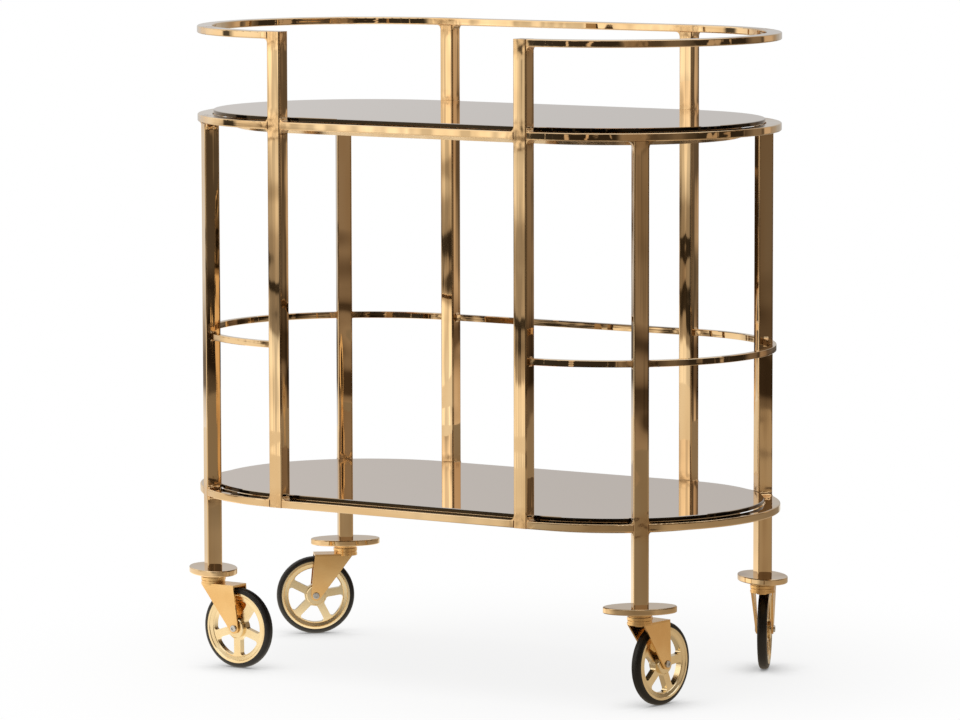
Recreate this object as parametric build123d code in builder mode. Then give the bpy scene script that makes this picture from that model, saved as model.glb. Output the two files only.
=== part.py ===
from build123d import *
from math import atan, acos, atan2, cos, sin, radians, sqrt
import os

os.makedirs("parts", exist_ok=True)

# ---------------------------------------------------------------- driving dimensions (mm, degrees)
# Plan shape: an oval track, two straight sides of 2 * HALF_STRAIGHT and two half-round ends.
HALF_STRAIGHT = 184.0  # from the middle of the cart to the centre of each half-round end
END_RADIUS = 207.0  # outer radius of every ring
PLAN_Y = -13.0  # middle of the oval; the origin is under the middle of the whole cart, wheels included

POST = 19.0  # square tube of the legs and uprights
POST_CORNER = 2.0
POST_WALL = 1.5

RING_WIDTH = 19.0  # flat tube of both shelf rings and the gallery rail
RING_HEIGHT = 9.5
RING_CORNER = 1.5
RING_WALL = 1.5

GALLERY_TOP = 805.0
GALLERY_HEIGHT = 9.0
UPPER_RING_TOP = 694.3
LOWER_RING_TOP = 225.5

MID_BAR = 8.0  # solid square bar of the rail between the shelves
MID_BOTTOM = 414.0

UPRIGHT_X = 178.0  # uprights stand on the straight sides
LEG_ANGLE = 49.5  # legs stand on the half-round ends, measured from the long axis

GLASS_THICKNESS = 5.0
GLASS_INSET = 20.0  # glass edge from the outside of its ring

SUPPORT_INSET = 49.0  # hidden ring under each glass, outside face from the outside of the shelf ring
SUPPORT_WIDTH = 12.0
SUPPORT_HEIGHT = 16.0
SUPPORT_WALL = 2.0
GASKET_THICKNESS = 1.3
GASKET_WIDTH = 7.0
STRAP_WIDTH = 14.0
STRAP_THICKNESS = 4.0

FLANGE_LENGTH = 90.0  # oval plate under each leg, long axis along the ring
FLANGE_WIDTH = 58.0
FLANGE_THICKNESS = 7.5
FLANGE_TOP = 125.0

WHEEL_RADIUS = 50.8
TYRE_WIDTH = 12.4
TYRE_ROUND = 4.8
RIM_RADIUS = 44.5
TRAIL = 39.4  # swivel axis to wheel axle
BORE_RADIUS = 3.06
AXLE_RADIUS = 3.0
BOLT_HEAD = 4.3
HUB_RADIUS = 12.5
HUB_HALF = 8.2
WEB_HALF = 4.0
WINDOW_INNER = 14.5
WINDOW_OUTER = 35.6
SPOKE_WIDTH = 10.0
SPOKES = 5
WINDOW_CORNER = 3.4

FORK_BOTTOM = 103.0  # underside of the fork's top plate
FORK_SHEET = 2.5
FORK_HALF_TOP = 14.0
FORK_HALF_AXLE = 11.2
CHEEK_SHEET = 2.3
CHEEK_ROUND = 6.6
CHEEK_FRONT = -8.0
CHEEK_REAR = 41.0
HOOD_RADIUS = 15.5
KINGPIN_RADIUS = 5.0
KINGPIN_FIT = 0.05
RIVET_RADIUS = 7.5
RIVET_HEIGHT = 2.2
RACE_TOP = 112.3  # top of the race that turns with the fork
RACE_GAP = 0.3
SEAT = 10.95  # half the distance between the two seats of the axle bolt

# corner: side of the cart, front or back, heading of the fork at rest
CORNERS = {
    "fl": (-1, -1, -2.0),
    "fr": (1, -1, 81.5),
    "bl": (-1, 1, 218.6),
    "br": (1, 1, 115.0),
}

# angle of each wheel's first spoke at rest, up from the direction the fork trails in
FIRST_SPOKE = {"fl": 54.5, "fr": 77.0, "bl": 99.0, "br": 77.0}

POST_CENTRE = END_RADIUS - POST / 2
UPPER_RING_BOTTOM = UPPER_RING_TOP - RING_HEIGHT
LOWER_RING_BOTTOM = LOWER_RING_TOP - RING_HEIGHT
GALLERY_BOTTOM = GALLERY_TOP - GALLERY_HEIGHT
FLANGE_BOTTOM = FLANGE_TOP - FLANGE_THICKNESS
POST_SIDE = UPRIGHT_X + POST / 2
FAR = 400.0
FLOOR = Plane(origin=(0, PLAN_Y, 0))  # every ring, shelf and clipping outline is drawn from here


# ---------------------------------------------------------------- plan geometry
def leg_point(sx, sy, distance, side=0.0):
    """A point on a leg's radial line; side moves it towards the upright (+) or the cart's end (-)."""
    a = radians(LEG_ANGLE)
    x = HALF_STRAIGHT + distance * cos(a) - side * sin(a)
    y = distance * sin(a) + side * cos(a)
    return (sx * x, sy * y)


def straight_clip(sy):
    x = UPRIGHT_X - POST / 2
    return [(-x, sy * 100), (x, sy * 100), (x, sy * FAR), (-x, sy * FAR)]


def corner_clip(sx, sy):
    """Between an upright and the leg beside it."""
    return [
        (sx * POST_SIDE, sy * 120),
        (sx * POST_SIDE, sy * FAR),
        leg_point(sx, sy, FAR, POST / 2),
        leg_point(sx, sy, 120, POST / 2),
    ]


def end_clip(sx):
    """Between the two legs of one end."""
    return [
        leg_point(sx, -1, 120, -POST / 2),
        leg_point(sx, -1, FAR, -POST / 2),
        leg_point(sx, 1, FAR, -POST / 2),
        leg_point(sx, 1, 120, -POST / 2),
    ]


def whole_end_clip(sx):
    return [(sx * POST_SIDE, -FAR), (sx * 2 * FAR, -FAR), (sx * 2 * FAR, FAR), (sx * POST_SIDE, FAR)]


def oval_band(outer, inner, z):
    with BuildSketch(FLOOR.offset(z)) as band:
        SlotCenterToCenter(2 * HALF_STRAIGHT, 2 * outer)
        SlotCenterToCenter(2 * HALF_STRAIGHT, 2 * inner, mode=Mode.SUBTRACT)
    return band.sketch


def oval_tube(z, height):
    """Flat tube bent to the oval, closed on itself until it is clipped."""
    extrude(oval_band(END_RADIUS, END_RADIUS - RING_WIDTH, z), amount=height)
    fillet(edges().filter_by(Axis.Z, reverse=True), radius=RING_CORNER)
    bore = oval_band(END_RADIUS - RING_WALL, END_RADIUS - RING_WIDTH + RING_WALL, z + RING_WALL)
    extrude(bore, amount=height - 2 * RING_WALL, mode=Mode.SUBTRACT)


def oval_bar():
    extrude(oval_band(POST_CENTRE + MID_BAR / 2, POST_CENTRE - MID_BAR / 2, MID_BOTTOM), amount=MID_BAR)
    chamfer(edges().filter_by(Axis.Z, reverse=True), length=0.5)


def clip(points):
    with BuildSketch(FLOOR) as region:
        Polygon(*points, align=None)
    extrude(region.sketch, amount=1000, mode=Mode.INTERSECT)


def save(builder, name):
    builder.part.label = name
    export_step(builder.part, f"parts/{name}.step")


# ---------------------------------------------------------------- shelf rings and gallery rail
CLIPS = {
    "front": straight_clip(-1),
    "back": straight_clip(1),
    "left_front": corner_clip(-1, -1),
    "left_end": end_clip(-1),
    "left_back": corner_clip(-1, 1),
    "right_front": corner_clip(1, -1),
    "right_end": end_clip(1),
    "right_back": corner_clip(1, 1),
}

for side, region in {
    "front": CLIPS["front"],
    "back": CLIPS["back"],
    "left": whole_end_clip(-1),
    "right": whole_end_clip(1),
}.items():
    with BuildPart() as upper_ring:
        oval_tube(UPPER_RING_BOTTOM, RING_HEIGHT)
        clip(region)
    save(upper_ring, f"upper_ring_{side}")

for side, region in CLIPS.items():
    with BuildPart() as lower_ring:
        oval_tube(LOWER_RING_BOTTOM, RING_HEIGHT)
        clip(region)
    save(lower_ring, f"lower_ring_{side}")

for side, region in CLIPS.items():
    if side == "front":
        continue  # the front stays open between the uprights
    with BuildPart() as mid_rail:
        oval_bar()
        clip(region)
    save(mid_rail, f"mid_rail_{side}")

with BuildPart() as gallery_rail:
    oval_tube(GALLERY_BOTTOM, GALLERY_HEIGHT)
    with BuildSketch(FLOOR.offset(GALLERY_BOTTOM - 1)):
        with Locations((0, -END_RADIUS)):
            Rectangle(2 * POST_SIDE, 2 * END_RADIUS - 100)
    extrude(amount=GALLERY_HEIGHT + 2, mode=Mode.SUBTRACT)
save(gallery_rail, "gallery_rail")


# ---------------------------------------------------------------- uprights and legs
def post(x, y, angle, bottom, top):
    """Square tube with a closed top and an open foot."""
    turned = (cos(radians(angle)), sin(radians(angle)), 0)
    foot = Plane(origin=(x, y + PLAN_Y, bottom), x_dir=turned, z_dir=(0, 0, 1))
    with BuildSketch(foot) as outside:
        RectangleRounded(POST, POST, POST_CORNER)
    extrude(outside.sketch, amount=top - bottom)
    with BuildSketch(foot) as inside:
        RectangleRounded(POST - 2 * POST_WALL, POST - 2 * POST_WALL, POST_CORNER - 1.0)
    extrude(inside.sketch, amount=top - bottom - POST_WALL, mode=Mode.SUBTRACT)


for corner, (sx, sy, heading) in CORNERS.items():
    upright_top = GALLERY_TOP if sy < 0 else GALLERY_BOTTOM
    with BuildPart() as upright:
        post(sx * UPRIGHT_X, sy * POST_CENTRE, 0, LOWER_RING_BOTTOM, upright_top)
    save(upright, f"upright_{corner}")

    leg_x, leg_y = leg_point(sx, sy, POST_CENTRE)
    with BuildPart() as leg:
        post(leg_x, leg_y, sx * sy * LEG_ANGLE, FLANGE_TOP, UPPER_RING_BOTTOM)
    save(leg, f"leg_{corner}")

# ---------------------------------------------------------------- what carries the glass
SUPPORT_OUTER = END_RADIUS - SUPPORT_INSET
SUPPORT_INNER = SUPPORT_OUTER - SUPPORT_WIDTH
SUPPORT_MIDDLE = (SUPPORT_OUTER + SUPPORT_INNER) / 2

for level, ring_top in {"upper": UPPER_RING_TOP, "lower": LOWER_RING_TOP}.items():
    support_top = ring_top - GASKET_THICKNESS
    support_bottom = support_top - SUPPORT_HEIGHT
    strap_bottom = ring_top - RING_HEIGHT / 2 - STRAP_THICKNESS / 2

    with BuildPart() as shelf_support:
        extrude(oval_band(SUPPORT_OUTER, SUPPORT_INNER, support_bottom), amount=SUPPORT_HEIGHT)
        channel = oval_band(SUPPORT_OUTER - SUPPORT_WALL, SUPPORT_INNER + SUPPORT_WALL, support_bottom)
        extrude(channel, amount=SUPPORT_HEIGHT - SUPPORT_WALL, mode=Mode.SUBTRACT)
        # straps reach from the ring to every upright and leg
        with BuildSketch(FLOOR.offset(strap_bottom)):
            for sx, sy, heading in CORNERS.values():
                with Locations((sx * UPRIGHT_X, sy * POST_CENTRE)):
                    Rectangle(STRAP_WIDTH, 110)
                strap_middle = leg_point(sx, sy, POST_CENTRE)
                with Locations(Location((*strap_middle, 0), sx * sy * LEG_ANGLE)):
                    Rectangle(110, STRAP_WIDTH)
            SlotCenterToCenter(2 * HALF_STRAIGHT, 2 * (END_RADIUS - POST), mode=Mode.INTERSECT)
            SlotCenterToCenter(2 * HALF_STRAIGHT, 2 * (SUPPORT_OUTER - 1), mode=Mode.SUBTRACT)
        extrude(amount=STRAP_THICKNESS)
    save(shelf_support, f"shelf_support_{level}")

    with BuildPart() as shelf_gasket:
        strip = oval_band(SUPPORT_MIDDLE + GASKET_WIDTH / 2, SUPPORT_MIDDLE - GASKET_WIDTH / 2, support_top)
        extrude(strip, amount=GASKET_THICKNESS)
    save(shelf_gasket, f"shelf_gasket_{level}")

    with BuildPart() as glass:
        with BuildSketch(FLOOR.offset(ring_top)):
            SlotCenterToCenter(2 * HALF_STRAIGHT, 2 * (END_RADIUS - GLASS_INSET))
        extrude(amount=GLASS_THICKNESS)
        chamfer(glass.edges().filter_by(Axis.Z, reverse=True), length=0.6)
    save(glass, f"glass_{level}")


# ---------------------------------------------------------------- casters
def tangent_point(px, py, cx, cy, radius, turn):
    """Where the line from (px, py) touches the circle; turn +1 or -1 picks the side."""
    dx, dy = px - cx, py - cy
    angle = atan2(dy, dx) + turn * acos(radius / sqrt(dx * dx + dy * dy))
    return (cx + radius * cos(angle), cy + radius * sin(angle))


def disc(x, y, z, radius, height, mode=Mode.ADD):
    with BuildSketch(Plane(origin=(x, y, z), z_dir=(0, 0, 1))) as circle:
        Circle(radius)
    extrude(circle.sketch, amount=height, mode=mode)


def rim_profile():
    """Half section of the rim: radius against distance from the wheel's middle plane."""
    side = [
        (BORE_RADIUS, HUB_HALF),
        (HUB_RADIUS - 0.8, HUB_HALF),
        (HUB_RADIUS, HUB_HALF - 0.8),
        (HUB_RADIUS, WEB_HALF),
        (36.4, WEB_HALF),
        (37.0, 4.7),
        (41.2, 5.3),
        (42.0, TYRE_WIDTH / 2),
        (RIM_RADIUS, TYRE_WIDTH / 2),
    ]
    return side + [(r, -w) for r, w in reversed(side)]


for corner, (sx, sy, heading) in CORNERS.items():
    x, y = leg_point(sx, sy, POST_CENTRE)
    y += PLAN_Y
    trail = Vector(cos(radians(heading)), sin(radians(heading)), 0)
    across = Vector(sin(radians(heading)), -cos(radians(heading)), 0)  # to the fork's right
    axle = Vector(x, y, WHEEL_RADIUS) + trail * TRAIL
    along = (cos(radians(sx * sy * LEG_ANGLE + 90)), sin(radians(sx * sy * LEG_ANGLE + 90)), 0)

    with BuildPart() as caster_flange:
        with BuildSketch(Plane(origin=(x, y, FLANGE_BOTTOM), x_dir=along, z_dir=(0, 0, 1))):
            Ellipse(FLANGE_LENGTH / 2, FLANGE_WIDTH / 2)
        extrude(amount=FLANGE_THICKNESS)
        fillet(caster_flange.edges().filter_by(Axis.Z, reverse=True), radius=1.2)
    save(caster_flange, f"caster_{corner}_flange")

    head_bottom = RACE_TOP + RACE_GAP
    rivet_top = FORK_BOTTOM - RACE_GAP
    with BuildPart() as caster_head:
        disc(x, y, head_bottom + 1.1, HOOD_RADIUS, FLANGE_BOTTOM - head_bottom - 1.1)
        fillet(caster_head.edges(), radius=1.2)
        disc(x, y, head_bottom, HOOD_RADIUS - 2, 1.5)
        disc(x, y, rivet_top - 1, KINGPIN_RADIUS, FLANGE_BOTTOM - rivet_top)
        disc(x, y, rivet_top - RIVET_HEIGHT, RIVET_RADIUS, RIVET_HEIGHT)
        fillet(caster_head.faces().sort_by(Axis.Z)[0].edges(), radius=1.2)
    save(caster_head, f"caster_{corner}_head")

    # pressed fork: top plate, two cheeks leaning in towards the axle, race on top
    lean = atan((FORK_HALF_TOP - FORK_HALF_AXLE) / (FORK_BOTTOM + 1 - WHEEL_RADIUS))
    axle_down = (WHEEL_RADIUS - FORK_BOTTOM - 1) / cos(lean)
    rear = tangent_point(CHEEK_REAR, -0.5, TRAIL, axle_down, CHEEK_ROUND, -1)
    front = tangent_point(CHEEK_FRONT, -0.5, TRAIL, axle_down, CHEEK_ROUND, 1)
    with BuildPart() as caster_fork:
        with BuildSketch(Plane(origin=(x, y, FORK_BOTTOM), x_dir=trail, z_dir=(0, 0, 1))):
            Circle(HOOD_RADIUS)
            with Locations((CHEEK_REAR / 2, 0)):
                Rectangle(CHEEK_REAR, 2 * FORK_HALF_TOP)
        extrude(amount=FORK_SHEET)
        for hand in (1, -1):
            outward = across * hand
            middle = Vector(x, y, FORK_BOTTOM + 1) + outward * (FORK_HALF_TOP - CHEEK_SHEET / 2)
            normal = across * cos(lean) - Vector(0, 0, 1) * (hand * sin(lean))
            with BuildSketch(Plane(origin=middle, x_dir=trail, z_dir=normal)):
                Polygon((CHEEK_FRONT, -0.5), (CHEEK_REAR, -0.5), rear, (TRAIL, axle_down), front, align=None)
                with Locations((TRAIL, axle_down)):
                    Circle(CHEEK_ROUND)
            extrude(amount=CHEEK_SHEET / 2, both=True)
        disc(x, y, FORK_BOTTOM + FORK_SHEET, HOOD_RADIUS - 0.5, 2.5)
        disc(x, y, FORK_BOTTOM + FORK_SHEET + 2.5, HOOD_RADIUS - 2, 1)
        disc(x, y, FORK_BOTTOM + FORK_SHEET + 3.5, HOOD_RADIUS, RACE_TOP - FORK_BOTTOM - FORK_SHEET - 3.5)
        disc(x, y, FORK_BOTTOM - 1, KINGPIN_RADIUS + KINGPIN_FIT, 12, mode=Mode.SUBTRACT)
        with BuildSketch(Plane(origin=axle, x_dir=trail, z_dir=across)):
            Circle(AXLE_RADIUS + 0.05)
        extrude(amount=30, both=True, mode=Mode.SUBTRACT)
        for hand in (1, -1):
            with BuildSketch(Plane(origin=axle + across * (hand * SEAT), x_dir=trail, z_dir=across * hand)):
                Circle(BOLT_HEAD + 0.6)
            extrude(amount=5, mode=Mode.SUBTRACT)
    save(caster_fork, f"caster_{corner}_fork")

    with BuildPart() as caster_axle:
        with BuildSketch(Plane(origin=axle - across * SEAT, x_dir=trail, z_dir=across)):
            Circle(AXLE_RADIUS)
        extrude(amount=2 * SEAT)
        # button head on the fork's right, low round nut on its left, both with a hexagon socket
        for hand, height in ((1, 2.2), (-1, 1.2)):
            outward = across * hand
            with BuildSketch(Plane(origin=axle + outward * SEAT, x_dir=trail, z_dir=outward)):
                Circle(BOLT_HEAD)
            extrude(amount=height)
            fillet(caster_axle.faces().sort_by(Axis(axle, outward))[-1].edges(), radius=0.7)
            with BuildSketch(Plane(origin=axle + outward * (SEAT + height), x_dir=trail, z_dir=outward)):
                RegularPolygon(2.2, 6)
            extrude(amount=-0.9, mode=Mode.SUBTRACT)
    save(caster_axle, f"caster_{corner}_axle")

    with BuildPart() as caster_rim:
        with BuildSketch(Plane(origin=axle, x_dir=trail, z_dir=(0, 0, 1))):
            Polygon(*rim_profile(), align=None)
        revolve(axis=Axis(axle, across))
        with BuildSketch(Plane(origin=axle, x_dir=trail, z_dir=across)):
            Circle(WINDOW_OUTER)
            Circle(WINDOW_INNER, mode=Mode.SUBTRACT)
            for i in range(SPOKES):
                turn = FIRST_SPOKE[corner] + i * 360 / SPOKES
                reach = (WINDOW_OUTER + WINDOW_INNER) / 2
                spot = (reach * cos(radians(turn)), reach * sin(radians(turn)), 0)
                with Locations(Location(spot, turn)):
                    Rectangle(WINDOW_OUTER, SPOKE_WIDTH, mode=Mode.SUBTRACT)
            fillet(vertices(), radius=WINDOW_CORNER)
        extrude(amount=TYRE_WIDTH, both=True, mode=Mode.SUBTRACT)
    save(caster_rim, f"caster_{corner}_rim")

    with BuildPart() as caster_tyre:
        with BuildSketch(Plane(origin=axle, x_dir=trail, z_dir=across)):
            Circle(WHEEL_RADIUS)
            Circle(RIM_RADIUS, mode=Mode.SUBTRACT)
        extrude(amount=TYRE_WIDTH / 2, both=True)
        fillet(caster_tyre.edges().filter_by(GeomType.CIRCLE).sort_by(SortBy.RADIUS)[-2:], radius=TYRE_ROUND)
    save(caster_tyre, f"caster_{corner}_tyre")
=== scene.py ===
"""Looks of the oval bar cart on casters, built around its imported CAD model. Metres, +Z up, -Y front."""
from math import cos, pi, radians, sin

import bmesh
import bpy
from mathutils import Matrix, Vector


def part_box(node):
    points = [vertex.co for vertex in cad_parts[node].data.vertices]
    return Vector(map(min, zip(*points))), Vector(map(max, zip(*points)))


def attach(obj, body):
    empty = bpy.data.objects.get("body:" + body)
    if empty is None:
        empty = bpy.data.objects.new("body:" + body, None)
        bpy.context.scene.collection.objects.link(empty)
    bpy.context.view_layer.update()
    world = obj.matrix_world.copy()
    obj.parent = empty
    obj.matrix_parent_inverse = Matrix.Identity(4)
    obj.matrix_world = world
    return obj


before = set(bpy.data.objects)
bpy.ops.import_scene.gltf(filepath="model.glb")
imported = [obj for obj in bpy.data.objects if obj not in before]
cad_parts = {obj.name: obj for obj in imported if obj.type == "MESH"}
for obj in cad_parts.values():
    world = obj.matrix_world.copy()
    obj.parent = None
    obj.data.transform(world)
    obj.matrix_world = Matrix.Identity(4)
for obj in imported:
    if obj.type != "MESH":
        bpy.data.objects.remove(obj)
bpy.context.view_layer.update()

# ---------------------------------------------------------------- camera
CAMERA_PLACE = Vector((3.6504, -5.8136, 1.1440))
CAMERA_AIM = Vector((-0.0063, -0.0170, 0.3906))
CAMERA_ROLL = radians(-0.12)
CAMERA_LENS = 207.07
SENSOR_WIDTH = 36.0


def make_camera():
    data = bpy.data.cameras.new("camera")
    data.lens = CAMERA_LENS
    data.sensor_width = SENSOR_WIDTH
    data.clip_end = 100
    camera = bpy.data.objects.new("camera", data)
    bpy.context.scene.collection.objects.link(camera)
    ahead = (CAMERA_AIM - CAMERA_PLACE).normalized()
    right = ahead.cross(Vector((0, 0, 1))).normalized()
    up = right.cross(ahead)
    right, up = (
        right * cos(CAMERA_ROLL) + up * sin(CAMERA_ROLL),
        up * cos(CAMERA_ROLL) - right * sin(CAMERA_ROLL),
    )
    turn = Matrix((right, up, -ahead)).transposed()
    camera.matrix_world = Matrix.Translation(CAMERA_PLACE) @ turn.to_4x4()
    bpy.context.scene.camera = camera


make_camera()


# ---------------------------------------------------------------- small helpers
def new_object(name, mesh):
    obj = bpy.data.objects.new(name, mesh)
    bpy.context.scene.collection.objects.link(obj)
    return obj


def node(tree, kind, **inputs):
    """A shader node, with values for its named sockets."""
    made = tree.nodes.new(kind)
    for key, value in inputs.items():
        made.inputs[key.replace("_", " ")].default_value = value
    return made


def new_material(name):
    material = bpy.data.materials.new(name)
    material.use_nodes = True
    tree = material.node_tree
    tree.nodes.clear()
    output = tree.nodes.new("ShaderNodeOutputMaterial")
    output.name = "Material Output"
    shader = tree.nodes.new("ShaderNodeBsdfPrincipled")
    tree.links.new(shader.outputs[0], output.inputs[0])
    return material, tree, shader


def noise(tree, scale, detail=3.0, roughness=0.5, stretch=(1, 1, 1), distortion=0.0):
    """Noise over the object's own coordinates, squeezed along each axis by stretch."""
    place = tree.nodes.new("ShaderNodeTexCoord")
    mapping = tree.nodes.new("ShaderNodeMapping")
    mapping.inputs["Scale"].default_value = stretch
    tree.links.new(place.outputs["Object"], mapping.inputs["Vector"])
    made = tree.nodes.new("ShaderNodeTexNoise")
    made.inputs["Scale"].default_value = scale
    made.inputs["Detail"].default_value = detail
    made.inputs["Roughness"].default_value = roughness
    made.inputs["Distortion"].default_value = distortion
    tree.links.new(mapping.outputs[0], made.inputs["Vector"])
    return made.outputs["Fac"]


def ramp(tree, factor, stops):
    made = tree.nodes.new("ShaderNodeValToRGB")
    elements = made.color_ramp.elements
    while len(elements) < len(stops):
        elements.new(0.5)
    for element, (place, colour) in zip(elements, stops):
        element.position = place
        element.color = (*colour, 1)
    tree.links.new(factor, made.inputs[0])
    return made.outputs[0]


def split_place(tree, place=None):
    """The x, y and z of a place, by default of the point being shaded, in the object's own coordinates."""
    if place is None:
        place = tree.nodes.new("ShaderNodeTexCoord").outputs["Object"]
    made = tree.nodes.new("ShaderNodeSeparateXYZ")
    tree.links.new(place, made.inputs[0])
    return made.outputs["X"], made.outputs["Y"], made.outputs["Z"]


def math_node(tree, operation, a, b=None):
    made = tree.nodes.new("ShaderNodeMath")
    made.operation = operation
    for socket, value in zip(made.inputs, (a, b)):
        if isinstance(value, (int, float)):
            socket.default_value = value
        elif value is not None:
            tree.links.new(value, socket)
    return made.outputs[0]


def span(tree, factor, low, high):
    """Maps 0..1 to low..high."""
    made = tree.nodes.new("ShaderNodeMapRange")
    made.inputs["To Min"].default_value = low
    made.inputs["To Max"].default_value = high
    tree.links.new(factor, made.inputs[0])
    return made.outputs[0]


def mix_colours(tree, a, b, factor=1.0, kind="MULTIPLY"):
    made = tree.nodes.new("ShaderNodeMix")
    made.data_type = "RGBA"
    made.blend_type = kind
    if isinstance(factor, float):
        made.inputs[0].default_value = factor
    else:
        tree.links.new(factor, made.inputs[0])
    pair = [i for i in made.inputs if i.type == "RGBA"]
    tree.links.new(a, pair[0])
    tree.links.new(b, pair[1])
    return [o for o in made.outputs if o.type == "RGBA"][0]


def mix_shaders(tree, factor, a, b):
    made = tree.nodes.new("ShaderNodeMixShader")
    tree.links.new(factor, made.inputs[0])
    tree.links.new(a, made.inputs[1])
    tree.links.new(b, made.inputs[2])
    return made.outputs[0]


def smooth_range(tree, value, start, end, low=0.0, high=1.0):
    made = tree.nodes.new("ShaderNodeMapRange")
    made.interpolation_type = "SMOOTHSTEP"
    for key, number in (("From Min", start), ("From Max", end), ("To Min", low), ("To Max", high)):
        made.inputs[key].default_value = number
    tree.links.new(value, made.inputs[0])
    return made.outputs[0]


def bump(tree, shader, height, distance, strength=1.0):
    """Bends the surface by a height, on top of the bumps that the shader already has."""
    made = tree.nodes.new("ShaderNodeBump")
    made.inputs["Strength"].default_value = strength
    made.inputs["Distance"].default_value = distance
    tree.links.new(height, made.inputs["Height"])
    previous = shader.inputs["Normal"].links
    if previous:
        tree.links.new(previous[0].from_socket, made.inputs["Normal"])
    tree.links.new(made.outputs[0], shader.inputs["Normal"])


# ---------------------------------------------------------------- materials
# darker and lighter patches in the brass colour: partly random tone of the metal, partly painted reflection
# of dark surroundings
BRASS_TONES_AND_PAINTED_REFLECTIONS = [(0.22, (0.48, 0.30, 0.15)), (0.36, (0.74, 0.52, 0.29)), (0.7, (0.80, 0.60, 0.37))]
WELD_REACH = (0.006, 0.024)  # how far the hand-ground metal round a weld spreads along a tube
RING_WELD_REACH = (0.010, 0.030)  # the same along a ring, from the middle of the post
WELD_TINT = (0.93, 0.87, 0.80)
WELD_ROUGHNESS = 0.12
HAZE = 0.06  # the most that wear adds to the roughness of polished brass
# what bends the reflections: size of the noise, as its scale, and height in metres
LONG_WAVES = (28, 0.0018)
BROAD_WAVES = (11, 0.0020)
STREAKS = (75, 0.00055)
DRAWN_LINES = (300, 0.00005)
WELD_LUMPS = (70, 0.0012)


def near_heights(tree, heights):
    """1 beside any of the heights, 0 away from them."""
    z = split_place(tree)[2]
    away = None
    for height in heights:
        gap = math_node(tree, "ABSOLUTE", math_node(tree, "SUBTRACT", z, height))
        away = gap if away is None else math_node(tree, "MINIMUM", away, gap)
    return smooth_range(tree, away, *WELD_REACH, 1.0, 0.0)


def near_posts(tree, posts, middle_y):
    """1 beside any post, 0 away from them. posts holds one quarter of the plan; the rest mirrors it."""
    x, y = split_place(tree)[:2]
    x = math_node(tree, "ABSOLUTE", x)
    y = math_node(tree, "ABSOLUTE", math_node(tree, "SUBTRACT", y, middle_y))
    away = None
    for post in posts:
        across = math_node(tree, "SUBTRACT", x, post[0])
        deep = math_node(tree, "SUBTRACT", y, post[1])
        squares = [math_node(tree, "POWER", side, 2.0) for side in (across, deep)]
        gap = math_node(tree, "SQRT", math_node(tree, "ADD", *squares))
        away = gap if away is None else math_node(tree, "MINIMUM", away, gap)
    return smooth_range(tree, away, *RING_WELD_REACH, 1.0, 0.0)


def brass(name, along, streaks, lines, welded=None):
    """Polished brass: waves and streaks bend what it reflects, with faint drawn lines on top, and the metal
    is lumpy and duller where welds were ground down. along, streaks and lines stretch the noise of each,
    and welded makes the mask of the places beside welds."""
    material, tree, shader = new_material(name)
    # colour patches stretched along the tube: random tone, and painted reflection of dark surroundings
    tone = noise(tree, 50, 1, 0.5, along)
    colour = ramp(tree, tone, BRASS_TONES_AND_PAINTED_REFLECTIONS)
    shader.inputs["Metallic"].default_value = 1.0
    rough = span(tree, noise(tree, 30, 2, 0.5, along), 0.0, HAZE)
    bump(tree, shader, noise(tree, LONG_WAVES[0], 0, 0.5, along), LONG_WAVES[1])
    bump(tree, shader, noise(tree, BROAD_WAVES[0], 1, 0.5), BROAD_WAVES[1])
    bump(tree, shader, noise(tree, STREAKS[0], 0, 0.5, streaks), STREAKS[1])
    bump(tree, shader, noise(tree, DRAWN_LINES[0], 1, 0.5, lines), DRAWN_LINES[1])
    if welded:
        mask = welded(tree)
        colour = mix_colours(tree, colour, ramp(tree, mask, [(0.0, (1, 1, 1)), (1.0, WELD_TINT)]))
        rough = math_node(tree, "ADD", rough, math_node(tree, "MULTIPLY", mask, WELD_ROUGHNESS))
        centred = math_node(tree, "SUBTRACT", noise(tree, WELD_LUMPS[0], 1, 0.5), 0.5)
        bump(tree, shader, math_node(tree, "MULTIPLY", centred, mask), WELD_LUMPS[1])
    tree.links.new(colour, shader.inputs["Base Color"])
    tree.links.new(rough, shader.inputs["Roughness"])
    return material


def middle(name):
    low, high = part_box(name)
    return (low + high) / 2


RAIL_HEIGHTS = {
    "gallery": middle("gallery_rail").z,
    "upper": middle("upper_ring_front").z,
    "mid": middle("mid_rail_back").z,
    "lower": middle("lower_ring_front").z,
}
OVAL_MIDDLE_Y = middle("glass_upper").y
QUARTER_POSTS = [(middle(n).x, middle(n).y - OVAL_MIDDLE_Y) for n in ("upright_br", "leg_br")]
POST_BRASS = brass(
    "post_brass",
    (1, 1, 0.12),
    (1, 1, 0.03),
    (1, 1, 0.01),
    lambda tree: near_heights(tree, [RAIL_HEIGHTS[n] for n in ("gallery", "upper", "lower")]),
)
RING_BRASS = brass(
    "ring_brass",
    (0.2, 0.2, 1),
    (0.6, 0.6, 0.1),
    (0.05, 0.05, 1),
    lambda tree: near_posts(tree, QUARTER_POSTS, OVAL_MIDDLE_Y),
)
PLAIN_BRASS = brass("plain_brass", (0.4, 0.4, 1), (0.4, 0.4, 1), (0.05, 0.05, 1))


SATIN_ROUGHNESS = (0.16, 0.24)
SATIN_GRAIN = 0.00005  # height of the fine grain, in metres
RUBBER_GRAIN = 0.0002


def satin_gold(name, deep, light):
    material, tree, shader = new_material(name)
    tone = noise(tree, 25, 2)
    colour = ramp(tree, tone, [(0.3, deep), (0.7, light)])
    tree.links.new(colour, shader.inputs["Base Color"])
    shader.inputs["Metallic"].default_value = 1.0
    tree.links.new(span(tree, noise(tree, 120, 3), *SATIN_ROUGHNESS), shader.inputs["Roughness"])
    bump(tree, shader, noise(tree, 900, 2), SATIN_GRAIN, 0.3)
    return material


STEEL_DARK = (0.5, 0.5, 0.5)
STEEL_LIGHT = (0.68, 0.68, 0.69)


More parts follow.
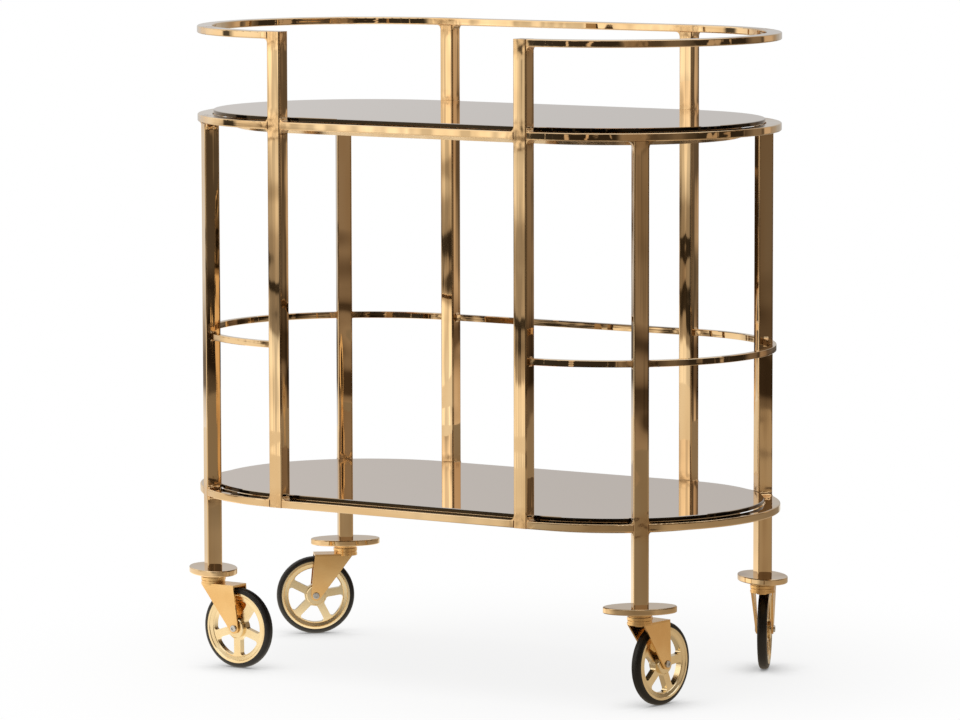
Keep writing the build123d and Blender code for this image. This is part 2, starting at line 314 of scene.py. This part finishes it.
def bolt_steel():
    material, tree, shader = new_material("bolt_steel")
    tone = noise(tree, 300, 3)
    colour = ramp(tree, tone, [(0.3, STEEL_DARK), (0.7, STEEL_LIGHT)])
    tree.links.new(colour, shader.inputs["Base Color"])
    shader.inputs["Metallic"].default_value = 1.0
    tree.links.new(span(tree, tone, 0.2, 0.35), shader.inputs["Roughness"])
    return material


GLASS_EDGE = (0.035, 0.026, 0.016)
GLASS_FACE = (0.80, 0.75, 0.70)
GLASS_TINT = (0.97, 0.92, 0.88, 1)


def mirror_glass():
    """Bronze mirror on the faces, dark polished glass at the edge."""
    material, tree, shader = new_material("mirror_glass")
    facing_up = split_place(tree, tree.nodes.new("ShaderNodeNewGeometry").outputs["Normal"])[2]
    colour = ramp(tree, facing_up, [(0.5, GLASS_EDGE), (0.9, GLASS_FACE)])
    tree.links.new(colour, shader.inputs["Base Color"])
    shader.inputs["Metallic"].default_value = 1.0
    shader.inputs["Specular Tint"].default_value = GLASS_TINT
    smear = noise(tree, 14, 4, 0.6)
    tree.links.new(span(tree, smear, 0.0, 0.04), shader.inputs["Roughness"])
    return material


def rubber(name, colour, roughness):
    material, tree, shader = new_material(name)
    grain = noise(tree, 400, 3)
    dark = tuple(c * 0.7 for c in colour)
    tree.links.new(ramp(tree, grain, [(0.3, dark), (0.7, colour)]), shader.inputs["Base Color"])
    tree.links.new(span(tree, grain, roughness - 0.08, roughness + 0.08), shader.inputs["Roughness"])
    bump(tree, shader, grain, RUBBER_GRAIN, 0.4)
    return material


FORK_GOLD = satin_gold("fork_gold", (0.80, 0.49, 0.20), (0.90, 0.61, 0.29))
SUPPORT_BRASS = satin_gold("support_brass", (0.78, 0.58, 0.36), (0.88, 0.70, 0.48))
RIM_GOLD = satin_gold("rim_gold", (0.87, 0.68, 0.40), (0.94, 0.80, 0.54))
BOLT_STEEL = bolt_steel()
MIRROR_GLASS = mirror_glass()
TYRE_RUBBER = rubber("tyre_rubber", (0.009, 0.008, 0.008), 0.45)
GASKET_RUBBER = rubber("gasket_rubber", (0.02, 0.02, 0.02), 0.6)


def material_of(name):
    if name.startswith("glass"):
        return MIRROR_GLASS
    if name.startswith("shelf_gasket"):
        return GASKET_RUBBER
    if name.endswith("_tyre"):
        return TYRE_RUBBER
    if name.endswith("_axle"):
        return BOLT_STEEL
    if name.endswith("_rim"):
        return RIM_GOLD
    if name.endswith(("_fork", "_head")):
        return FORK_GOLD
    if name.startswith(("leg", "upright")):
        return POST_BRASS
    if name.startswith("shelf_support"):
        return SUPPORT_BRASS
    if name.endswith("_flange"):
        return PLAIN_BRASS
    return RING_BRASS


for name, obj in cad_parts.items():
    obj.data.materials.clear()
    obj.data.materials.append(material_of(name))


# ---------------------------------------------------------------- welds
CORNERS = {"fl": (-1, -1), "fr": (1, -1), "bl": (-1, 1), "br": (1, 1)}
LEG_ANGLE = radians(49.5)  # where a leg stands on the round end, from the cart's long side
UP = Vector((0, 0, 1))
ALONG_X = Vector((1, 0, 0))
EMBED = 0.0004  # how deep a weld reaches into the metal it joins
ARC_STEPS = 6  # faces round the hollow of a weld
DEPTH_STEPS = 8  # and along it
# radius of the welds: at rings and gallery, at the top of a leg, at the middle rail
RING_WELD = 0.0045
LEG_TOP_WELD = 0.0075
BAR_WELD = 0.0022
# half the length of a weld: on the 19 mm tubes, on the middle rail
WELD_HALF = 0.0085
BAR_WELD_HALF = 0.0036
WELD_WAVES = ((0.10, 1.7, 1), (0.06, 3.1, 2))  # share of the radius, turn per step, share of the phase


def weld_fillet(form, corner, out, up, radius, half_depth, phase):
    """Hollow fillet between a post and a rail: out runs along the rail, up along the post, and the weld
    is as long as the tubes are wide. Its radius is a little uneven, as laid and ground by hand."""
    depth = out.cross(up)
    rows = []
    for i in range(DEPTH_STEPS + 1):
        place = corner + depth * (half_depth * (2 * i / DEPTH_STEPS - 1))
        size = radius * (1 + sum(share * sin(i * pace + k * phase) for share, pace, k in WELD_WAVES))
        row = [place - (out + up) * EMBED, place + up * size - out * EMBED]
        for k in range(ARC_STEPS + 1):
            a = pi / 2 * k / ARC_STEPS
            row.append(place + out * (size * (1 - cos(a))) + up * (size * (1 - sin(a))))
        row.append(place + out * size - up * EMBED)
        rows.append([form.verts.new(point) for point in row])
    for row, following in zip(rows, rows[1:]):
        for k in range(len(row)):
            j = (k + 1) % len(row)
            face = form.faces.new((row[k], row[j], following[j], following[k]))
            face.smooth = 2 <= k < 2 + ARC_STEPS
    form.faces.new(rows[0])
    form.faces.new(reversed(rows[-1]))


def finish_piece(name, form, material, body):
    bmesh.ops.recalc_face_normals(form, faces=form.faces)
    mesh = bpy.data.meshes.new(name)
    form.to_mesh(mesh)
    form.free()
    mesh.materials.append(material)
    piece = new_object(name, mesh)
    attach(piece, body)
    return piece


# half sizes of the sections: height of a ring, side of the middle rail, side of a post
RING_HALF_HEIGHT = 0.00475
BAR_HALF = 0.004
POST_HALF = 0.0095
GALLERY_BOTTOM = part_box("gallery_rail")[0].z


def upright_welds(corner, side_x, side_y):
    """Welds between an upright and the gallery, the upper ring, the middle rail and the lower ring."""
    spot = middle(f"upright_{corner}")
    form = bmesh.new()
    for hand in (1, -1):
        out = ALONG_X * hand
        foot = Vector((spot.x + hand * POST_HALF, spot.y, 0))
        outer = side_y > 0 or hand == side_x
        joints = [
            (RAIL_HEIGHTS["upper"] + RING_HALF_HEIGHT, UP, RING_WELD, WELD_HALF, True),
            (RAIL_HEIGHTS["upper"] - RING_HALF_HEIGHT, -UP, RING_WELD, WELD_HALF, True),
            (RAIL_HEIGHTS["lower"] + RING_HALF_HEIGHT, UP, RING_WELD, WELD_HALF, True),
            (RAIL_HEIGHTS["mid"] + BAR_HALF, UP, BAR_WELD, BAR_WELD_HALF, outer),
            (RAIL_HEIGHTS["mid"] - BAR_HALF, -UP, BAR_WELD, BAR_WELD_HALF, outer),
            (GALLERY_BOTTOM, -UP, RING_WELD, WELD_HALF, outer),
        ]
        for height, up, radius, half_depth, wanted in joints:
            if wanted:
                place = foot + UP * height
                weld_fillet(form, place, out, up, radius, half_depth, 40 * spot.x + 9 * height + hand)
    finish_piece(f"weld_upright_{corner}", form, POST_BRASS, "cart")


def leg_welds(corner, side_x, side_y):
    """Welds between a leg and the upper ring, the middle rail and the lower ring."""
    spot = middle(f"leg_{corner}")
    sideways = Vector((-side_x * sin(LEG_ANGLE), side_y * cos(LEG_ANGLE), 0))
    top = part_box(f"leg_{corner}")[1].z
    centre = Vector((spot.x, spot.y, 0))
    form = bmesh.new()
    for hand in (1, -1):
        out = sideways * hand
        joints = [
            (top, -UP, LEG_TOP_WELD, WELD_HALF),
            (RAIL_HEIGHTS["mid"] + BAR_HALF, UP, BAR_WELD, BAR_WELD_HALF),
            (RAIL_HEIGHTS["mid"] - BAR_HALF, -UP, BAR_WELD, BAR_WELD_HALF),
            (RAIL_HEIGHTS["lower"] + RING_HALF_HEIGHT, UP, RING_WELD, WELD_HALF),
            (RAIL_HEIGHTS["lower"] - RING_HALF_HEIGHT, -UP, RING_WELD, WELD_HALF),
        ]
        for height, up, radius, half_depth in joints:
            place = centre + out * POST_HALF + UP * height
            weld_fillet(form, place, out, up, radius, half_depth, 30 * spot.x + 9 * height + hand)
    finish_piece(f"weld_leg_{corner}", form, POST_BRASS, "cart")


SCREW_PLACE = 0.034  # from the swivel axis, towards each end of the foot plate
SCREW_SIZE = (0.0038, 0.0026, 0.0018)  # radius at the plate, radius at the bottom, height


def flange_screws(corner, side_x, side_y):
    """Two button heads under each foot plate."""
    low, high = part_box(f"caster_{corner}_flange")
    centre = (low + high) / 2
    sideways = Vector((-side_x * sin(LEG_ANGLE), side_y * cos(LEG_ANGLE), 0))
    wide, narrow, height = SCREW_SIZE
    form = bmesh.new()
    for hand in (1, -1):
        place = Vector((centre.x, centre.y, low.z + EMBED - height / 2)) + sideways * (hand * SCREW_PLACE)
        bmesh.ops.create_cone(
            form,
            cap_ends=True,
            segments=24,
            radius1=narrow,
            radius2=wide,
            depth=height,
            matrix=Matrix.Translation(place),
        )
    finish_piece(f"caster_{corner}_screws", form, FORK_GOLD, "cart")


for corner, (side_x, side_y) in CORNERS.items():
    upright_welds(corner, side_x, side_y)
    leg_welds(corner, side_x, side_y)
    flange_screws(corner, side_x, side_y)


# ---------------------------------------------------------------- floor and light
STUDIO_RADIUS = 2.6
STUDIO_HEIGHT = 3.2
STUDIO_SIDES = 96
FLOOR_FADE = (0.30, 0.80)  # distances over which the floor turns to the white of the background
FLOOR_GLOW = 0.92  # share of the floor's brightness that no shadow takes away
FLOOR_GREY = 0.955
CONTACT_REACH = 0.075  # how far from a wheel its contact shadow begins
CONTACT_SHADE = 0.2
OPEN_SKY = (0.15, 0.9)  # share of open sky in the darkest of that shadow, and at its end
CEILING = 1.2  # brightness of what the wall leaves open overhead
UNDER_CART = (0.15, 0.42)  # the floor that the metal reflects is darker under the cart
UNDER_SHADE = 0.5
NEAR_TO_FAR = (0.6, 1.3)  # distances over which FLOOR_NEAR gives way to FLOOR_ROUND
KEY_POWER = 75.0
KEY_SIZE = 2.4
KEY_PLACE = Vector((-0.4, -0.6, 2.8))
KEY_AIM = Vector((0, 0, 0.4))
# brightness round the horizon: angle from the front (-Y), positive to the right
WALL = [
    (-180, 0.56),
    (-150, 0.60),
    (-125, 0.7),
    (-95, 1.15),
    (-60, 1.15),
    (-45, 1.1),
    (-42, 0.9),
    (-39.5, 1.5),
    (-37, 1.5),
    (-35.9, 0.76),
    (-34, 0.76),
    (-32.5, 1.0),
    (-30, 1.3),
    (-28.6, 1.3),
    (-27.4, 0.78),
    (-23.6, 0.78),
    (-20.5, 0.05),
    (36, 0.04),
    (42, 0.34),
    (52, 0.34),
    (56, 0.11),
    (62, 0.10),
    (70, 0.2),
    (77, 0.2),
    (86, 0.05),
    (125, 0.04),
    (136, 0.29),
    (143, 0.29),
    (145.5, 0.15),
    (149, 0.13),
    (151.5, 0.72),
    (158, 0.72),
    (162, 0.46),
    (172, 0.5),
]
# what the metal reflects of the floor, in the same way
FLOOR_ROUND = [
    (-180, 0.7),
    (-95, 0.95),
    (-60, 1.0),
    (-28, 1.0),
    (-15, 0.5),
    (38, 0.28),
    (62, 0.3),
    (72, 0.48),
    (84, 0.4),
    (158, 0.3),
]
# the same, beside the cart
FLOOR_NEAR = [
    (-180, 0.7),
    (-95, 1.5),
    (-65, 1.5),
    (-50, 1.05),
    (-20, 1.05),
    (5, 0.42),
    (40, 0.38),
    (85, 0.62),
    (140, 0.55),
]
# brightness up the wall, as a share of WALL: front left, with dark things standing there, and elsewhere
LEFT_HEIGHTS = [
    (0.0, 1.0),
    (0.12, 1.0),
    (0.15, 0.42),
    (0.20, 0.34),
    (0.22, 0.05),
    (0.285, 0.05),
    (0.305, 0.46),
    (0.37, 0.50),
    (0.43, 0.86),
    (0.60, 1.15),
]
OTHER_HEIGHTS = [
    (0.0, 1.1),
    (0.05, 0.8),
    (0.08, 0.22),
    (0.14, 0.2),
    (0.18, 0.5),
    (0.26, 0.9),
    (0.6, 0.95),
    (0.8, 1.0),
]
BAND_LEAN = (-45, -20, -0.07, 0.06)  # the dark band in front stands higher on the left: degrees, then metres
UNEVEN = 0.07  # how much its edges wander, in metres
# light patches on the dark stretches of the wall
PATCHES = [
    (-180, 0.0),
    (-19, 0.0),
    (-14, 0.8),
    (34, 0.8),
    (40, 0.0),
    (84, 0.0),
    (90, 0.5),
    (122, 0.5),
    (128, 0.0),
]
PANEL = [(-79, 0.0), (-77, 1.0), (-66, 1.0), (-64, 0.0)]  # a dark panel on the left, above PANEL_FOOT
PANEL_FOOT = (0.28, 0.33)
PANEL_LIGHT = 0.08  # what the panel leaves of the wall's brightness
RAMP_STOPS = 24  # a colour ramp holds at most 32
LEFT_SECTOR = [(-100, 0), (-80, 1), (-22, 1), (-12, 0)]  # where LEFT_HEIGHTS holds
# colour of the studio: warm in front, browner on the right, white behind
WARM_LEFT = (1.0, 0.94, 0.82)
WARM_RIGHT = (1.0, 0.79, 0.58)
WARM_ROUND = [
    (-120, (1, 1, 1)),
    (-90, WARM_LEFT),
    (-24, WARM_LEFT),
    (20, WARM_RIGHT),
    (160, WARM_RIGHT),
    (176, (1, 1, 1)),
]
WARM_FLOOR = (1.0, 0.92, 0.78)
WARM_FLOOR_RIGHT = (1.0, 0.83, 0.62)
WARM_FLOOR_ROUND = [(-180, WARM_FLOOR), (-10, WARM_FLOOR), (35, WARM_FLOOR_RIGHT), (150, WARM_FLOOR_RIGHT)]


def grey(light):
    return (light, light, light)


def brown(light):
    """A share of white that turns brown as it gets darker."""
    return (light, light * (0.84 + 0.16 * min(light, 1)), light * (0.70 + 0.30 * min(light, 1)))


def part_of_turn(degrees):
    """Where an angle of the tables above lies in 0..1 once round the cart."""
    return (degrees + 180) / 360


def turn_and_height(tree):
    """The height, and before it 0..1 once round the cart: 0 and 1 at the back, 0.5 at the front."""
    x, y, z = split_place(tree)
    angle = math_node(tree, "ARCTAN2", x, math_node(tree, "MULTIPLY", y, -1))
    turn = tree.nodes.new("ShaderNodeMapRange")
    turn.inputs["From Min"].default_value = -pi
    turn.inputs["From Max"].default_value = pi
    tree.links.new(angle, turn.inputs[0])
    return turn.outputs[0], z


def round_ramp(tree, turn, stops):
    """Greys round the horizon. A long list is shared between two colour ramps."""
    places = [(part_of_turn(degrees), grey(light)) for degrees, light in stops]
    first = ramp(tree, turn, places[:RAMP_STOPS])
    if len(places) <= RAMP_STOPS:
        return first
    last = places[RAMP_STOPS - 1:]
    beyond = math_node(tree, "GREATER_THAN", turn, last[0][0])
    return mix_colours(tree, first, ramp(tree, turn, last), beyond, "MIX")


def make_floor():
    mesh = bpy.data.meshes.new("floor")
    form = bmesh.new()
    bmesh.ops.create_circle(form, cap_ends=True, radius=STUDIO_RADIUS, segments=STUDIO_SIDES)
    form.to_mesh(mesh)
    form.free()
    floor = new_object("floor", mesh)
    material, tree, shader = new_material("floor_white")
    shader.inputs["Base Color"].default_value = (0.9, 0.9, 0.9, 1)
    shader.inputs["Roughness"].default_value = 0.9
    shader.inputs["Specular IOR Level"].default_value = 0.0
    place = tree.nodes.new("ShaderNodeTexCoord").outputs["Object"]
    reach = tree.nodes.new("ShaderNodeVectorMath")
    reach.operation = "LENGTH"
    tree.links.new(place, reach.inputs[0])
    outside = smooth_range(tree, reach.outputs["Value"], *FLOOR_FADE)
    open_sky = tree.nodes.new("ShaderNodeAmbientOcclusion")
    open_sky.inputs["Distance"].default_value = CONTACT_REACH
    open_sky.samples = 8
    low, high = OPEN_SKY
    shade = ramp(tree, open_sky.outputs["AO"], [(low, grey(CONTACT_SHADE)), (high, grey(1.0))])
    pale = mix_colours(tree, shade, ramp(tree, outside, [(0, grey(FLOOR_GREY)), (1, grey(1.0))]))
    glow = node(tree, "ShaderNodeEmission", Strength=1.0)
    tree.links.new(pale, glow.inputs["Color"])
    fade = span(tree, outside, FLOOR_GLOW, 1.0)
    seen = mix_shaders(tree, fade, shader.outputs[0], glow.outputs[0])
    # what the metal reflects: white close by, and further out as bright as the studio on that side
    turn = turn_and_height(tree)[0]
    from_middle = smooth_range(tree, reach.outputs["Value"], *UNDER_CART)
    under = ramp(tree, from_middle, [(0, grey(UNDER_SHADE)), (1, grey(1.0))])
    near = mix_colours(tree, round_ramp(tree, turn, FLOOR_NEAR), under)
    away = smooth_range(tree, reach.outputs["Value"], *NEAR_TO_FAR)
    mirrored = mix_colours(tree, near, round_ramp(tree, turn, FLOOR_ROUND), away, "MIX")
    bounce = node(tree, "ShaderNodeEmission", Strength=1.0)
    warm = ramp(tree, turn, [(part_of_turn(degrees), tint) for degrees, tint in WARM_FLOOR_ROUND])
    tree.links.new(mix_colours(tree, mirrored, warm), bounce.inputs["Color"])
    path = tree.nodes.new("ShaderNodeLightPath")
    both = mix_shaders(tree, path.outputs["Is Camera Ray"], bounce.outputs[0], seen)
    tree.links.new(both, tree.nodes["Material Output"].inputs[0])
    mesh.materials.append(material)


def make_wall():
    """A round studio wall that lights the cart and shows in the metal, but not to the camera."""
    mesh = bpy.data.meshes.new("studio_wall")
    form = bmesh.new()
    angles = [2 * pi * i / STUDIO_SIDES for i in range(STUDIO_SIDES)]
    foot, top = [
        [form.verts.new((STUDIO_RADIUS * cos(a), STUDIO_RADIUS * sin(a), z)) for a in angles]
        for z in (0, STUDIO_HEIGHT)
    ]
    for i in range(STUDIO_SIDES):
        j = (i + 1) % STUDIO_SIDES
        form.faces.new((foot[i], foot[j], top[j], top[i]))
    form.to_mesh(mesh)
    form.free()
    wall = new_object("studio_wall", mesh)
    material, tree, shader = new_material("studio_wall")
    turn, height = turn_and_height(tree)
    start, end, low, high = BAND_LEAN
    lean = smooth_range(tree, turn, part_of_turn(start), part_of_turn(end), low, high)
    wander = span(tree, noise(tree, 5, 2, 0.6), -UNEVEN / 2, UNEVEN / 2)
    band = math_node(tree, "ADD", math_node(tree, "ADD", height, lean), wander)
    left = ramp(tree, band, [(z, brown(light)) for z, light in LEFT_HEIGHTS])
    other = ramp(tree, height, [(z, brown(light)) for z, light in OTHER_HEIGHTS])
    heights = mix_colours(tree, other, left, round_ramp(tree, turn, LEFT_SECTOR), "MIX")
    patches = ramp(tree, noise(tree, 3, 2, 0.55, (1, 1, 0.6), 0.8), [(0.55, grey(0.0)), (0.60, grey(1.0))])
    patches = mix_colours(tree, patches, round_ramp(tree, turn, PATCHES))
    around = mix_colours(tree, round_ramp(tree, turn, WALL), patches, 1.0, "ADD")
    colour = mix_colours(tree, around, heights)
    above_foot = smooth_range(tree, height, *PANEL_FOOT)
    panel = math_node(tree, "MULTIPLY", round_ramp(tree, turn, PANEL), above_foot)
    colour = mix_colours(tree, colour, ramp(tree, panel, [(0, grey(1.0)), (1, grey(PANEL_LIGHT))]))
    warmth = ramp(tree, turn, [(part_of_turn(degrees), tint) for degrees, tint in WARM_ROUND])
    colour = mix_colours(tree, colour, warmth)
    glow = node(tree, "ShaderNodeEmission", Strength=1.0)
    tree.links.new(colour, glow.inputs["Color"])
    tree.links.new(glow.outputs[0], tree.nodes["Material Output"].inputs[0])
    mesh.materials.append(material)
    wall.visible_camera = False
    wall.visible_shadow = False


def make_world():
    """White behind the cart; overhead, the ceiling that the wall leaves open."""
    world = bpy.data.worlds.new("studio")
    bpy.context.scene.world = world
    world.use_nodes = True
    tree = world.node_tree
    tree.nodes.clear()
    ceiling = node(tree, "ShaderNodeBackground", Color=(1, 1, 1, 1), Strength=CEILING)
    white = node(tree, "ShaderNodeBackground", Color=(1, 1, 1, 1), Strength=1.0)
    path = tree.nodes.new("ShaderNodeLightPath")
    both = mix_shaders(tree, path.outputs["Is Camera Ray"], ceiling.outputs[0], white.outputs[0])
    output = tree.nodes.new("ShaderNodeOutputWorld")
    tree.links.new(both, output.inputs[0])


def make_key_light():
    data = bpy.data.lights.new("key", "AREA")
    data.shape = "DISK"
    data.size = KEY_SIZE
    data.energy = KEY_POWER
    light = bpy.data.objects.new("key", data)
    bpy.context.scene.collection.objects.link(light)
    light.location = KEY_PLACE
    light.rotation_euler = (KEY_PLACE - KEY_AIM).to_track_quat("Z", "Y").to_euler()
    light.visible_glossy = False


make_floor()
make_wall()
make_world()
make_key_light()
bpy.context.scene.view_settings.view_transform = "Standard"
